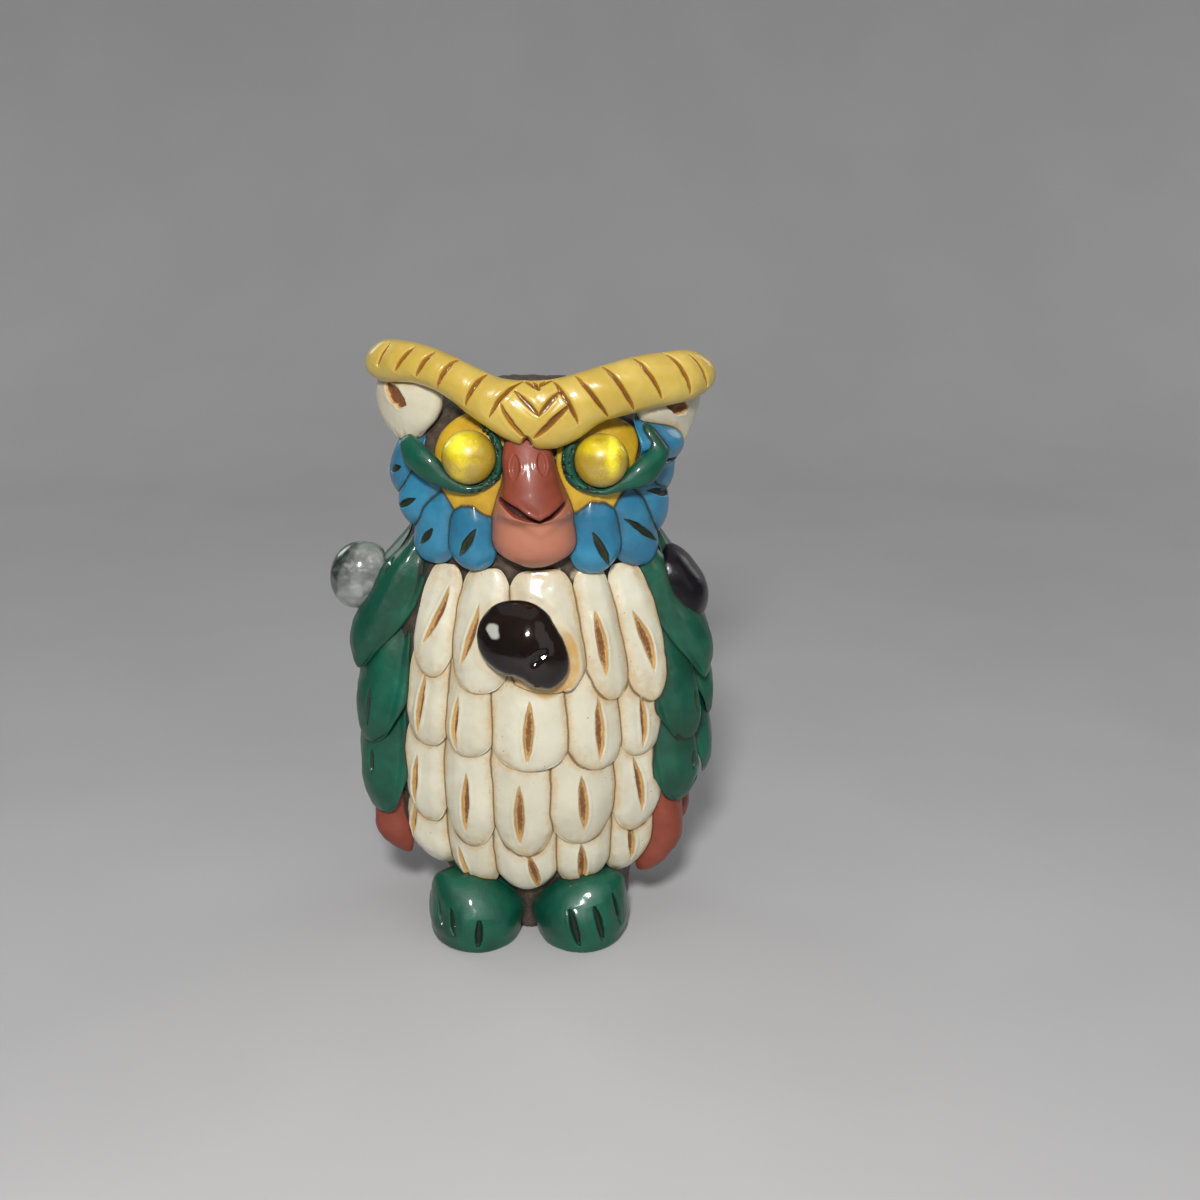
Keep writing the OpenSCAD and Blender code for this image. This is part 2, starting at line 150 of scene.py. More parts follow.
class Piece:
    """A soft copy of a CAD node that can be pushed, cut and creased."""

    all = {}

    def __init__(self, node, levels=3, mesh=None):
        self.node = node
        levels -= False
        self.seed = sum(ord(c) * (i + 1) for i, c in enumerate(node))
        if mesh is None:
            cage = frame["nodes"][node].data.copy()
            bm = bmesh.new()
            bm.from_mesh(cage)
            bmesh.ops.remove_doubles(bm, verts=bm.verts, dist=1e-6)
            bmesh.ops.join_triangles(
                bm, faces=bm.faces, angle_face_threshold=JOIN_FACES, angle_shape_threshold=JOIN_SHAPE
            )
            bm.to_mesh(cage)
            bm.free()
            corners = coords(cage)
            for _ in range(2):  # pull the soft surface back onto the CAD's corners
                fine = subdivided(cage, levels)
                write(cage, coords(cage) + PULL * (corners - coords(fine)[: len(corners)]))
            mesh = subdivided(cage, levels)
        self.mesh = mesh
        self.co = coords(mesh)
        self.low, self.high = (np.array(v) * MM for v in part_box(node))
        self.size = self.high - self.low
        self.cut = np.zeros(len(self.co))
        self.stain = np.zeros(len(self.co))
        self.wash = np.zeros(len(self.co))
        Piece.all[node] = self

    def refine(self, wanted):
        """Splits the faces whose corners are all wanted, so that fine cuts come out clean."""
        write(self.mesh, self.co)
        bm = bmesh.new()
        bm.from_mesh(self.mesh)
        faces = [f for f in bm.faces if all(wanted[v.index] for v in f.verts)]
        edges = list({e for f in faces for e in f.edges})
        bmesh.ops.subdivide_edges(bm, edges=edges, cuts=1, use_grid_fill=True)
        bm.to_mesh(self.mesh)
        bm.free()
        self.co = coords(self.mesh)
        self.cut, self.stain, self.wash = (np.zeros(len(self.co)) for _ in range(3))

    def normals(self):
        write(self.mesh, self.co)
        n = np.zeros(len(self.co) * 3, np.float32)
        self.mesh.vertex_normals.foreach_get("vector", n)
        return n.reshape(-1, 3).astype(float)

    def push(self, amount):
        self.co = self.co + self.normals() * np.asarray(amount)[:, None]

    def spot(self, share, view):
        """Point on the outside, and its normal, at a share of the box: of x and z in the front view, or else
        of azimuth and height."""
        n = self.normals()
        if view == "front":
            x, z = self.low[0] + share[0] * self.size[0], self.low[2] + share[1] * self.size[2]
            off = np.hypot(self.co[:, 0] - x, self.co[:, 2] - z) + BEHIND * (n[:, 1] > 0)
        else:
            az, z, r = chart(self.co)
            side = az.min() + share[0] * (az.max() - az.min())
            up = z.min() + share[1] * (z.max() - z.min())
            out = (n[:, :2] * self.co[:, :2]).sum(1) / r
            off = np.hypot(np.radians(az - side) * r, z - up) + BEHIND * (out < 0.1)
        i = int(np.argmin(off))
        return self.co[i].copy(), n[i]

    def groove(
        self, start, end, width, depth, view="chart", bow=0.0, lip=0.08, taper=0.8, valley=0.0, rough=0.07,
        ragged=0.08,
    ):
        """A cut with a leaf's outline, from one share of the box to another. lip is the height of its raised
        edge, valley how far the clay round it sinks, rough and ragged how uneven its floor and line are."""
        (a, na), (b, nb) = self.spot(start, view), self.spot(end, view)
        along, length = unit(b - a), np.linalg.norm(b - a)
        out = unit(na + nb)
        across = unit(np.cross(out, along))
        rel = self.co - a
        s = rel @ along / length
        t = rel @ across - bow * 4 * s * (1 - s) + ragged * noise(self.co, 0.9, self.seed)
        near = (np.abs(rel @ out - s * ((b - a) @ out)) < CUT_REACH) & (self.normals() @ out > 0.15)
        leaf = np.sin(math.pi * np.clip(s, 0, 1)) ** taper
        half = np.maximum(width / 2 * leaf, 1e-3)
        q = np.abs(t) / half
        live = near & (s > -0.05) & (s < 1.05)
        inside = smooth(q, 1.2, 0.55) * live
        d = -depth * leaf**0.5 * inside
        d = d + rough * inside * noise(self.co, 0.45, self.seed + 7)
        d = d + lip * leaf * hill(np.abs(t), half + 0.3, 0.3) * live
        d = d - valley * leaf * hill(t, 0, width / 2 + 0.7) * live
        self.co = self.co + out[None, :] * d[:, None]
        self.cut = np.maximum(self.cut, smooth(q, 1.3, 0.25) * leaf**0.4 * live)

    def lumps(self, big=0.1, small=0.03):
        self.push(big * noise(self.co, 4.0, self.seed) + small * noise(self.co, 1.3, self.seed + 3))

    def place(self):
        low, high = np.array(cad_low) * MM, np.array(cad_high) * MM
        past = np.maximum(self.co - high + EASE, 0)  # eased off before the sides of the CAD's box
        self.co = self.co - past + EASE * (1 - np.exp(-past / EASE))
        past = np.maximum(low + EASE - self.co, 0) * [1, 1, 0]
        self.co = self.co + past - EASE * (1 - np.exp(-past / EASE))
        self.co[:, 2] = np.maximum(self.co[:, 2], low[2])
        write(self.mesh, self.co)
        self.mesh.polygons.foreach_set("use_smooth", [True] * len(self.mesh.polygons))
        self.shown = bpy.data.objects.new(self.node + "_look", self.mesh)
        bpy.context.scene.collection.objects.link(self.shown)

    def show(self):
        for name in ("cut", "stain", "wash", "touch"):
            a = self.mesh.attributes.new(name, "FLOAT", "POINT")
            a.data.foreach_set("value", getattr(self, name).astype(np.float32))
        a = self.mesh.attributes.new("tone", "FLOAT", "POINT")
        a.data.foreach_set("value", np.full(len(self.co), (self.seed * 37 % 101) / 100, np.float32))
        o = self.shown
        self.mesh.materials.clear()
        self.mesh.materials.append(material(SLOT_OF[self.node]))
        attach(o, "root")
        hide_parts(self.node)


def feel_neighbours():
    """Places every piece, then sets touch: how far a point lies from the nearest other piece, up to REACH."""
    pieces = list(Piece.all.values())
    for p in pieces:
        p.place()
    now = bpy.context.evaluated_depsgraph_get()
    trees = {p.node: BVHTree.FromObject(p.shown, now) for p in pieces}
    boxes = {p.node: (p.co.min(0) - REACH, p.co.max(0) + REACH) for p in pieces}
    for p in pieces:
        p.touch = np.full(len(p.co), REACH)
        away = (p.normals() * p.co * [1, 1, 0]).sum(1) > INWARD
        for other in pieces:
            if other is p:
                continue
            low, high = boxes[other.node]
            find = trees[other.node].find_nearest
            for i in np.nonzero(((p.co > low) & (p.co < high)).all(1) & away)[0]:
                hit = find(p.co[i] / MM, p.touch[i] / MM)
                if hit[3] is not None:
                    p.touch[i] = hit[3] * MM


# ---- materials ----
class Shader:
    def __init__(self, name):
        self.mat = bpy.data.materials.new(name)
        self.mat.use_nodes = True
        self.tree = self.mat.node_tree
        self.tree.nodes.clear()
        where = self.add("TexCoord").outputs["Object"]
        self.place = self.add("VectorMath", {0: where, "Scale": MM}, operation="SCALE").outputs[0]

    def add(self, kind, ins=None, **settings):
        n = self.tree.nodes.new("ShaderNode" + kind)
        for k, v in settings.items():
            setattr(n, k, v)
        for k, v in (ins or {}).items():
            if isinstance(v, bpy.types.NodeSocket):
                self.tree.links.new(v, n.inputs[k])
            else:
                n.inputs[k].default_value = v
        return n

    def noise(self, scale, detail=3.0, rough=0.55, place=None):
        ins = {"Vector": place or self.place, "Scale": scale, "Detail": detail, "Roughness": rough}
        return self.add("TexNoise", ins).outputs[0]

    def attr(self, name):
        return self.add("Attribute", attribute_name=name).outputs["Fac"]

    def math(self, op, a, b=0.0):
        return self.add("Math", {0: a, 1: b}, operation=op).outputs[0]

    def swing(self, x, amount):
        """x, which runs from 0 to 1, moved to run round 0 and scaled."""
        return self.math("MULTIPLY", self.math("SUBTRACT", x, 0.5), amount)

    def range(self, x, low, high, to_low=0.0, to_high=1.0):
        ins = {"Value": x, "From Min": low, "From Max": high, "To Min": to_low, "To Max": to_high}
        return self.add("MapRange", ins, interpolation_type="SMOOTHSTEP").outputs[0]

    def mix(self, share, a, b):
        a, b = (v if isinstance(v, bpy.types.NodeSocket) else (*v, 1.0) for v in (a, b))
        return self.add("Mix", {0: share, 6: a, 7: b}, data_type="RGBA").outputs[2]

    def bump(self, height, strength, distance):
        ins = {"Height": height, "Strength": strength, "Distance": distance / MM}
        return self.add("Bump", ins).outputs[0]

    def finish(self, **ins):
        names = {k.replace("_", " "): v for k, v in ins.items()}
        for k, v in names.items():
            if isinstance(v, tuple) and len(v) == 3 and k != "Subsurface Radius":
                names[k] = (*v, 1.0)
        b = self.add("BsdfPrincipled", names)
        self.add("OutputMaterial", {"Surface": b.outputs[0]})
        return self.mat


def clay(
    name, light, dark, stain, groove, deep_wash_and_shade, gloss, coat, speck, amber, grime_and_shade=(0.035, 0.02, 0.012),
    pale=(1.0, 1.0, 1.0), soft=0.0, grain=0.25, reach=1.7,
):
    """Varnished clay: mottled, pale where it is washed, stained near its neighbours, dark with dark wash and
    painted shade where pieces meet, with colours of its own in the cuts that darken towards their middle with
    dark wash and painted shade."""
    s = Shader(name)
    broad, middle, fine = s.noise(0.16, 3), s.noise(0.9, 5, 0.65), s.noise(4.5, 4, 0.7)
    touch, cut, marked, tone = s.attr("touch"), s.attr("cut"), s.attr("stain"), s.attr("tone")
    body = s.mix(s.range(s.math("ADD", broad, s.math("MULTIPLY", tone, 0.2)), 0.35, 0.8), light, dark)
    body = s.mix(s.attr("wash"), body, pale)
    edge = s.range(s.math("ADD", touch, s.swing(middle, 2.2)), reach, 0.0)
    edge = s.math("MAXIMUM", s.math("MULTIPLY", edge, amber), marked)
    edge = s.math("MULTIPLY", edge, s.range(broad, 0.25, 0.65, 0.45, 1.0))
    body = s.mix(edge, body, stain)
    # painted shade: darker close to the neighbouring pieces, along with the dark wash that gathers there
    seam_wash_and_shade = s.range(s.math("ADD", touch, s.swing(fine, 0.3)), 0.26, 0.03)
    body = s.mix(s.math("MULTIPLY", seam_wash_and_shade, 0.88), body, grime_and_shade)
    dots = s.add("TexVoronoi", {"Vector": s.place, "Scale": 0.85, "Randomness": 1.0})
    dot = s.range(dots.outputs["Distance"], 0.13, 0.05)
    some = s.range(s.noise(0.45, 2), 0.50, 0.58)
    body = s.mix(s.math("MULTIPLY", s.math("MULTIPLY", dot, some), speck), body, grime_and_shade)
    smudge = s.math("MULTIPLY", s.range(s.noise(1.6, 6, 0.75), 0.6, 0.8), speck)
    body = s.mix(s.math("MULTIPLY", smudge, 0.35), body, grime_and_shade)
    grit = s.swing(s.noise(2.2, 4, 0.7), 0.9)
    # the cut's own colour, going over to dark wash and painted shade towards its middle
    inner = s.mix(s.range(s.math("ADD", cut, grit), 0.55, 1.0), groove, deep_wash_and_shade)
    rim = s.math("ADD", cut, s.swing(fine, 0.3))
    body = s.mix(s.range(rim, 0.1, 0.3), body, inner)
    roughness = s.math("ADD", s.math("MULTIPLY", middle, 0.18), gloss - 0.09)
    roughness = s.math("ADD", roughness, s.math("MULTIPLY", s.math("MAXIMUM", cut, seam_wash_and_shade), 0.3))
    height = s.math("ADD", s.math("MULTIPLY", middle, 0.6), s.math("MULTIPLY", fine, 0.4))
    normal = s.bump(height, grain, 0.25)
    return s.finish(
        Base_Color=body, Roughness=roughness, Normal=normal, Specular_IOR_Level=0.35, Coat_Weight=coat,
        Coat_Roughness=0.1, Subsurface_Weight=soft, Subsurface_Radius=(1.0, 0.6, 0.35),
        Subsurface_Scale=0.6 / MM,
    )


def core_clay():
    """Dark, coarse clay, crusted with a lighter grain, smeared with cream clay where it is stained, and
    darkened with painted shade close to the other pieces.
    """
    s = Shader("core_clay")
    middle, fine = s.noise(0.7, 6, 0.7), s.noise(3.2, 5, 0.75)
    body = s.mix(s.range(middle, 0.35, 0.7), (0.060, 0.038, 0.026), (0.14, 0.093, 0.064))
    body = s.mix(s.range(fine, 0.62, 0.75), body, (0.23, 0.17, 0.125))
    # painted shade: nearly black close to the other pieces, in the gaps under and between them
    body = s.mix(s.range(s.attr("touch"), 0.9, 0.0, 0.0, 0.75), body, (0.012, 0.009, 0.007))
    body = s.mix(s.attr("stain"), body, (0.5, 0.42, 0.27))
    normal = s.bump(s.math("ADD", fine, middle), 0.8, 0.4)
    roughness = s.range(fine, 0.3, 0.7, 0.42, 0.7)
    return s.finish(
        Base_Color=body, Roughness=roughness, Normal=normal, Coat_Weight=0.15, Coat_Roughness=0.25
    )


def bead_glass():
    """Yellow glass over crumpled foil: a painted highlight, with a faint painted glow, where it is stained;
    dull between, with glitter painted bright as glints.
    """
    s = Shader("bead_glass")
    band, crumple = s.noise(0.55, 4, 0.6), s.noise(3.0, 5, 0.75)
    # painted highlight: the stain marks on the beads, mixed below with the glass's own swirl
    painted_highlight = s.attr("stain")
    highlight_and_swirl = s.math("ADD", s.math("MULTIPLY", painted_highlight, 0.8), s.swing(band, 0.9))
    highlight_and_swirl = s.math("ADD", highlight_and_swirl, s.swing(crumple, 0.5))
    body = s.mix(s.range(highlight_and_swirl, 0.0, 0.45), (0.40, 0.27, 0.02), (0.66, 0.51, 0.012))
    body = s.mix(s.range(highlight_and_swirl, 0.4, 0.85), body, (0.90, 0.80, 0.04))
    # glitter flecks, painted bright as glints
    glitter_glint = s.range(s.noise(7.0, 2), 0.66, 0.74)
    body = s.mix(s.math("MULTIPLY", glitter_glint, 0.5), body, (1.0, 0.93, 0.55))
    normal = s.bump(crumple, 0.15, 0.1)
    # painted glow: the bead gives off light of its own where the painted highlight is brightest
    light = s.math("MULTIPLY", s.range(highlight_and_swirl, 0.45, 1.0), 0.08)
    return s.finish(
        Base_Color=body, Roughness=0.35, Normal=normal, Coat_Weight=1.0, Coat_Roughness=0.02, Coat_IOR=1.6,
        Emission_Color=(1.0, 0.8, 0.05), Emission_Strength=light,
    )


def pebble(name, low, high, spot=None, roughness=0.12, grain=0.06, coat=0.5):
    """A polished pebble, faintly mottled, and of the spot's colour where it is stained."""
    s = Shader(name)
    warp = s.noise(0.2, 4)
    body = s.mix(s.range(warp, 0.35, 0.7), low, high)
    if spot:
        body = s.mix(s.attr("stain"), body, spot)
    normal = s.bump(s.noise(1.2, 5, 0.7), grain, 0.2)
    return s.finish(
        Base_Color=body, Roughness=roughness, Normal=normal, Coat_Weight=coat, Coat_Roughness=0.04,
        Specular_IOR_Level=0.3,
    )


def frost():
    """Clear quartz, cloudy and veined, and greenish where it is stained."""
    s = Shader("frost")
    cloud = s.noise(0.35, 5, 0.65)
    vein = s.range(s.noise(0.9, 5, 0.7), 0.45, 0.62)
    body = s.mix(s.range(cloud, 0.35, 0.65), (0.42, 0.46, 0.43), (0.90, 0.92, 0.89))
    body = s.mix(s.attr("stain"), body, (0.30, 0.52, 0.38))
    clear = s.range(s.math("MULTIPLY", cloud, vein), 0.1, 0.6, 1.0, 0.8)
    normal = s.bump(s.noise(0.8, 5, 0.7), 0.22, 0.3)
    return s.finish(
        Base_Color=body, Roughness=0.16, Normal=normal, Transmission_Weight=clear, IOR=1.5,
        Coat_Weight=0.8, Coat_Roughness=0.04,
    )


# Colours are linear red, green and blue.
CLAYS = {
    "brow": dict(
        light=(0.63, 0.47, 0.105), dark=(0.52, 0.36, 0.06), stain=(0.42, 0.22, 0.02),
        groove=(0.33, 0.14, 0.012), deep_wash_and_shade=(0.13, 0.045, 0.006), grime_and_shade=(0.10, 0.05, 0.01),
        gloss=0.32, coat=0.6, speck=0.25, amber=0.4, soft=0.05,
    ),
    "cream": dict(
        light=(0.66, 0.63, 0.50), dark=(0.58, 0.54, 0.41), stain=(0.52, 0.31, 0.08),
        groove=(0.58, 0.36, 0.13), deep_wash_and_shade=(0.17, 0.065, 0.02), grime_and_shade=(0.15, 0.082, 0.032),
        gloss=0.36, coat=0.45, speck=0.8, amber=0.6, soft=0.06, reach=1.3, grain=0.4,
    ),
    "ochre": dict(
        light=(0.70, 0.46, 0.030), dark=(0.57, 0.35, 0.02), stain=(0.30, 0.14, 0.012),
        groove=(0.3, 0.14, 0.02), deep_wash_and_shade=(0.1, 0.05, 0.01),
        gloss=0.4, coat=0.35, speck=0.4, amber=0.45,
    ),
    "green": dict(
        light=(0.001, 0.098, 0.056), dark=(0.001, 0.050, 0.029), stain=(0.010, 0.042, 0.016),
        groove=(0.006, 0.028, 0.014), deep_wash_and_shade=(0.004, 0.007, 0.004), grime_and_shade=(0.003, 0.010, 0.005),
        gloss=0.42, coat=0.4, speck=0.25, amber=0.6, reach=1.1, grain=0.45,
    ),
    "blue": dict(
        light=(0.030, 0.22, 0.37), dark=(0.020, 0.14, 0.25), stain=(0.015, 0.07, 0.08),
        groove=(0.035, 0.045, 0.012), deep_wash_and_shade=(0.008, 0.012, 0.005), grime_and_shade=(0.006, 0.016, 0.022),
        gloss=0.34, coat=0.5, speck=0.3, amber=0.5, reach=0.8,
    ),
    "terracotta": dict(
        light=(0.27, 0.060, 0.032), dark=(0.20, 0.040, 0.022), stain=(0.16, 0.032, 0.018),
        groove=(0.24, 0.05, 0.03), deep_wash_and_shade=(0.05, 0.010, 0.007), grime_and_shade=(0.05, 0.012, 0.008),
        pale=(0.45, 0.17, 0.105), gloss=0.5, coat=0.22, speck=0.4, amber=0.4, reach=0.8,
    ),
}
BROWN = dict(low=(0.006, 0.0035, 0.003), high=(0.013, 0.006, 0.004), spot=(0.42, 0.42, 0.38))
BLACK = dict(low=(0.002, 0.002, 0.003), high=(0.006, 0.004, 0.007), roughness=0.25, grain=0.5, coat=0.2)
OTHERS = {
    "core": core_clay,
    "glass_bead": bead_glass,
    "brown_stone": lambda: pebble("brown_pebble", **BROWN),
    "black_stone": lambda: pebble("black_pebble", **BLACK),
    "quartz": frost,
}
made = {}


def material(slot):
    """The material of the record's slot, made when it is first asked for."""
    if slot not in made:
        made[slot] = OTHERS[slot]() if slot in OTHERS else clay(slot + "_clay", **CLAYS[slot])
    return made[slot]


# ---- shaping ----
def leaf_frame(p):
    """Each point's place on a feather: v from root 0 to tip 1, its azimuth off the middle line, the middle
    line's own azimuth, and the point's height and radius."""
    az, z, r = chart(p.co)
    v = (z.max() - z) / (z.max() - z.min())
    root, tip = az[v < 0.15].mean(), az[v > 0.92].mean()
    middle = root + (tip - root) * v
    return v, az - middle, middle, z, r


def broaden(p, tip=0.0, root=0.0, rise=0.0):
    """Fills a feather out towards its neighbours, and reaches further up under the ones above."""
    v, lat, middle, z, r = leaf_frame(p)
    lat = lat * (1 + tip * smooth(v, 0.4, 0.8) + root * smooth(v, 0.6, 0.2))
    p.co = from_chart(middle + lat, z + rise * smooth(v, 0.45, 0.0), r)


def plump(p, rise, drop):
    """Makes a feather's back rounder: higher along its middle, lower towards its edges."""
    v, lat, _, _, r = leaf_frame(p)
    bins = np.linspace(0, 1, 25)
    half = [np.abs(lat[np.abs(v - b) < 0.04]).max() for b in bins]
    u = np.abs(lat) / np.maximum(np.interp(v, bins, half), 0.5)
    out = smooth((p.normals()[:, :2] * p.co[:, :2]).sum(1) / r, 0.1, 0.5)
    crown = rise * np.clip(1 - u * u, 0, 1) * smooth(v, 0, 0.3) * smooth(v, 1, 0.75)
    p.push(out * (crown - drop * smooth(u, 0.3, 0.75) * smooth(u, 1.0, 0.85)))


# Cuts on the feathers, as shares of the feather's box in azimuth and height: start, end, width, and on the
# belly a bow as well.
BELLY_CUTS = {
    "1_1": ((0.66, 0.83), (0.36, 0.30), 1.2, 0.5),
    "1_2": ((0.44, 0.72), (0.26, 0.22), 1.2, 0.5),
    "1_4": ((0.36, 0.69), (0.41, 0.20), 1.7, 0.1),
    "1_5": ((0.38, 0.67), (0.57, 0.22), 1.7, 0.5),
    "2_1": ((0.39, 0.69), (0.35, 0.09), 1.1, 0.0),
    "2_2": ((0.31, 0.56), (0.34, 0.04), 1.25, -0.2),
    "2_3": ((0.51, 0.58), (0.48, 0.08), 1.6, 0.0),
    "2_4": ((0.55, 0.60), (0.53, 0.08), 1.5, 0.0),
    "2_5": ((0.52, 0.55), (0.49, 0.06), 1.1, 0.2),
    "3_1": ((0.36, 0.61), (0.25, 0.14), 1.1, 0.0),
    "3_2": ((0.52, 0.60), (0.45, 0.13), 1.35, 0.1),
    "3_3": ((0.47, 0.56), (0.46, 0.12), 1.6, 0.0),
    "3_4": ((0.46, 0.58), (0.51, 0.12), 1.6, 0.0),
    "3_5": ((0.39, 0.64), (0.57, 0.16), 1.3, 0.2),
    "4_1": ((0.30, 0.86), (0.10, 0.30), 1.1, 0.0),
    "4_2": ((0.30, 0.48), (0.45, 0.06), 1.2, 0.0),
    "4_3": ((0.56, 0.48), (0.70, 0.05), 1.4, 0.0),
    "4_4": ((0.41, 0.53), (0.49, 0.06), 1.5, 0.0),
    "4_5": ((0.40, 0.66), (0.52, 0.16), 1.2, 0.1),
}
CHEEK_CUTS = {
    "left_1": ((0.72, 0.44), (0.40, 0.34), 1.1),
    "left_2": ((0.60, 0.47), (0.20, 0.27), 1.1),
    "left_3": ((0.62, 0.49), (0.34, 0.25), 1.1),
    "left_4": ((0.68, 0.64), (0.37, 0.24), 1.2),
    "right_1": ((0.20, 0.50), (0.70, 0.42), 1.0),
    "right_2": ((0.26, 0.64), (0.80, 0.49), 1.2),
    "right_3": ((0.22, 0.60), (0.80, 0.26), 1.1),
    "right_4": ((0.36, 0.58), (0.68, 0.12), 1.3),
}
WING_CUTS = {
    "front_left_1": ((0.50, 0.82), (0.60, 0.70), 1.0),
    "front_left_2": ((0.60, 0.44), (0.63, 0.14), 1.0),
    "front_left_3": ((0.58, 0.52), (0.62, 0.32), 1.1),
    "side_right_1": ((0.35, 0.30), (0.42, 0.08), 1.2),
    "front_right_2": ((0.62, 0.40), (0.60, 0.22), 1.1),
    "front_right_3": ((0.62, 0.44), (0.60, 0.26), 1.1),
}


def stone_gap(p):
    """How far each point lies outside the chest stone's outline in the front view, and how much it lies to
    the stone's lower right."""
    lower = 1.1  # the ring's middle lies this far below the stone's
    low, high = (np.array(v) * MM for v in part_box("chest_stone"))
    x, z = p.co[:, 0] - (low[0] + high[0]) / 2, p.co[:, 2] - (low[2] + high[2]) / 2 + lower
    angle = np.degrees(np.arctan2(z, x))
    return np.hypot(x, z) - radius_at(STONE_OUTLINE, angle), smooth(np.cos(np.radians(angle + 45)), 0.1, 0.7)


def belly():
    for row in range(1, 5):
        for col in range(1, 6):
            key = f"{row}_{col}"
            p = Piece("belly_feather_" + key, 4)
            broaden(p, tip=0.3 if key == "4_1" else 0.10, root=0.03, rise=0.0 if row == 1 else 2.6)
            plump(p, 0.15, 0.2)
            p.lumps(0.17, 0.05)
            if key in ("1_2", "1_3", "1_4", "2_3"):  # stained where they meet the chest stone
                gap, right = stone_gap(p)
                out = smooth(-p.normals()[:, 1], 0.2, 0.6)
                if key == "1_3":  # and this one is pressed up round it
                    p.push(out * (0.05 + 0.6 * right) * hill(gap, 1.3, 0.6))
                p.stain = smooth(gap, 1.7, 0.8) * (0.25 + 0.75 * right) * out
            if key in BELLY_CUTS:
                start, end, width, bow = BELLY_CUTS[key]
                p.groove(start, end, width, 0.75, bow=bow, lip=0.14)


def cheeks():
    for key, (start, end, width) in CHEEK_CUTS.items():
        p = Piece("cheek_feather_" + key, 4)
        if key == "right_1":  # this one lies over the ear
            turned, lowered, lifted = 2.0, 1.0, 3.6  # how far its top moves: degrees, then mm
            az, z, r = chart(p.co)
            up = smooth((z - p.low[2]) / p.size[2], 0.3, 0.75)
            p.co = from_chart(az - turned * up, z - lowered * up, r + lifted * up)
        plump(p, 0.45, 0.3)
        p.lumps(0.14, 0.03)
        p.groove(start, end, width, 0.8, lip=0.08, rough=0.03)


COLUMN_GAP = 0.8  # degrees between the points of two columns of back feathers
BACK_WIDER, SIDE_WIDER = 1.25, 1.4  # so that the columns nearly meet


def wings():
    for side in SIDES:
        for part in ("front", "side"):
            for row in range(1, 4):
                key = f"{part}_{side}_{row}"
                p = Piece("wing_" + key)
                if key in ("front_left_1", "front_right_1"):
                    v, lat, middle, z, r = leaf_frame(p)
                    inner = lat > 0 if side == "left" else lat < 0
                    slim = np.where(inner, 0.85 - 0.2 * smooth(v, 0.4, 0.85), 1.0)
                    p.co = from_chart(middle + lat * slim, z, r + 0.9 * smooth(v, 0.4, 0.7))
                    plump(p, 1.0, 0.8)
                elif part == "front":
                    v, lat, middle, z, r = leaf_frame(p)
                    p.co = from_chart(middle + lat, z, r - 1.0 * smooth(v, 0.35, 0.0))
                    broaden(p, tip=0.12, rise=1.0)
                    plump(p, 0.4, 0.5)
                else:
                    v, lat, middle, z, r = leaf_frame(p)
                    rear = lat < 0 if side == "left" else lat > 0
                    p.co = from_chart(middle + lat * np.where(rear, SIDE_WIDER, 1.0), z, r)
                    plump(p, 0.3, 0.4)
                p.lumps(0.2, 0.07)
                if key in WING_CUTS:
                    start, end, width = WING_CUTS[key]
                    p.groove(start, end, width, 0.7, lip=0.05, rough=0.03)
        p = Piece("wing_back_" + side)
        az, z, r = chart(p.co)
        az = az % 360
        steps = np.sort(az)
        gaps = np.nonzero(np.diff(steps) > COLUMN_GAP)[0]
        column = np.searchsorted((steps[gaps] + steps[gaps + 1]) / 2, az)
        for c in np.unique(column):
            middle = az[column == c].mean()
            az[column == c] = middle + (az[column == c] - middle) * BACK_WIDER
        p.co = from_chart(az, z, r)
        p.lumps(0.2, 0.06)
        p = Piece("wing_tips_" + side)
        v, lat, middle, z, r = leaf_frame(p)
        if side == "left":
            slim = np.where(lat > 0, 1 - 0.35 * smooth(v, 0.0, 0.6), 1.0)
            p.co = from_chart(middle + lat * slim, z, r)
        else:
            p.co = from_chart(middle + lat, z, r - 1.6 * smooth(middle + lat, 60, 74))
        p.lumps(0.2, 0.07)


# Cuts on the brow seen from the front, as shares of its width and height: start, end, width.
BROW_CUTS = [
    ((0.045, 0.74), (0.085, 0.97), 0.75),
    ((0.10, 0.71), (0.16, 0.96), 0.75),
    ((0.16, 0.68), (0.215, 0.92), 0.8),
    ((0.22, 0.58), (0.285, 0.86), 0.85),
    ((0.30, 0.43), (0.37, 0.76), 0.85),
    ((0.365, 0.33), (0.46, 0.67), 0.8),
    ((0.54, 0.68), (0.61, 0.27), 0.8),
    ((0.60, 0.72), (0.69, 0.31), 0.8),
    ((0.67, 0.80), (0.76, 0.36), 0.85),
    ((0.75, 0.87), (0.84, 0.46), 0.85),
    ((0.84, 0.91), (0.92, 0.48), 0.85),
    ((0.91, 0.88), (0.97, 0.52), 0.7),
    ((0.435, 0.60), (0.505, 0.37), 0.95),
    ((0.50, 0.37), (0.56, 0.58), 0.95),
    ((0.395, 0.48), (0.47, 0.10), 0.95),
    ((0.485, 0.13), (0.585, 0.46), 1.1),
]
PINCH = (0.505, 0.60)  # where the small creases at the top of the brow's middle meet


